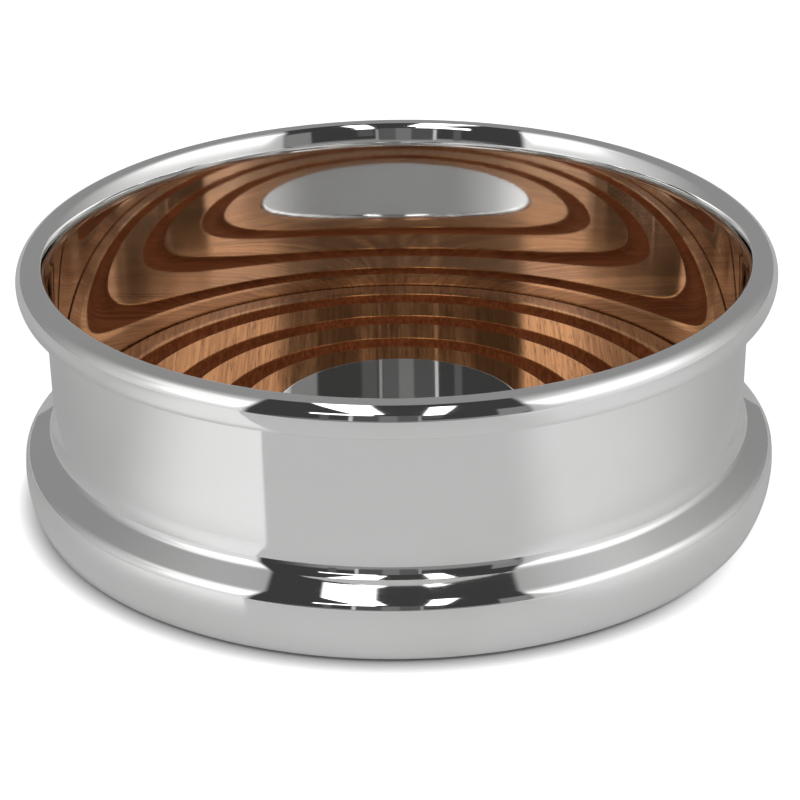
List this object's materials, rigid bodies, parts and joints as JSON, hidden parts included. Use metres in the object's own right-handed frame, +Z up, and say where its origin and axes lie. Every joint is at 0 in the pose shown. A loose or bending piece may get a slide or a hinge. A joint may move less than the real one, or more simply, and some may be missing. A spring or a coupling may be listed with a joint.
{
  "type": "wine bottle coaster",
  "caption": "Round waisted silver gallery with a thick rounded rim and a bulged foot, on a grooved turned wooden base with a flat central boss; holds a wine bottle on a table.",
  "frame": {"origin": "on the table, under the middle of the coaster", "axes": "+Z up, along the coaster's axis of revolution; X and Y are any two level directions, with -Y towards the picture's camera"},
  "size_m": [0.1304, 0.1304, 0.0454],
  "materials": {
    "silver": "mirror-polished silver",
    "mahogany": "french-polished mahogany, semi-gloss",
    "brass": "plain turned brass",
    "baize": "green wool baize"
  },
  "bodies": {
    "root": {"rim_moulding": "silver", "gallery": "silver", "foot_ring": "silver", "wooden_base": "mahogany", "boss": "silver", "boss_stud": "brass", "boss_washer": "brass", "boss_nut": "brass", "baize": "baize"}
  },
  "joints": []
}
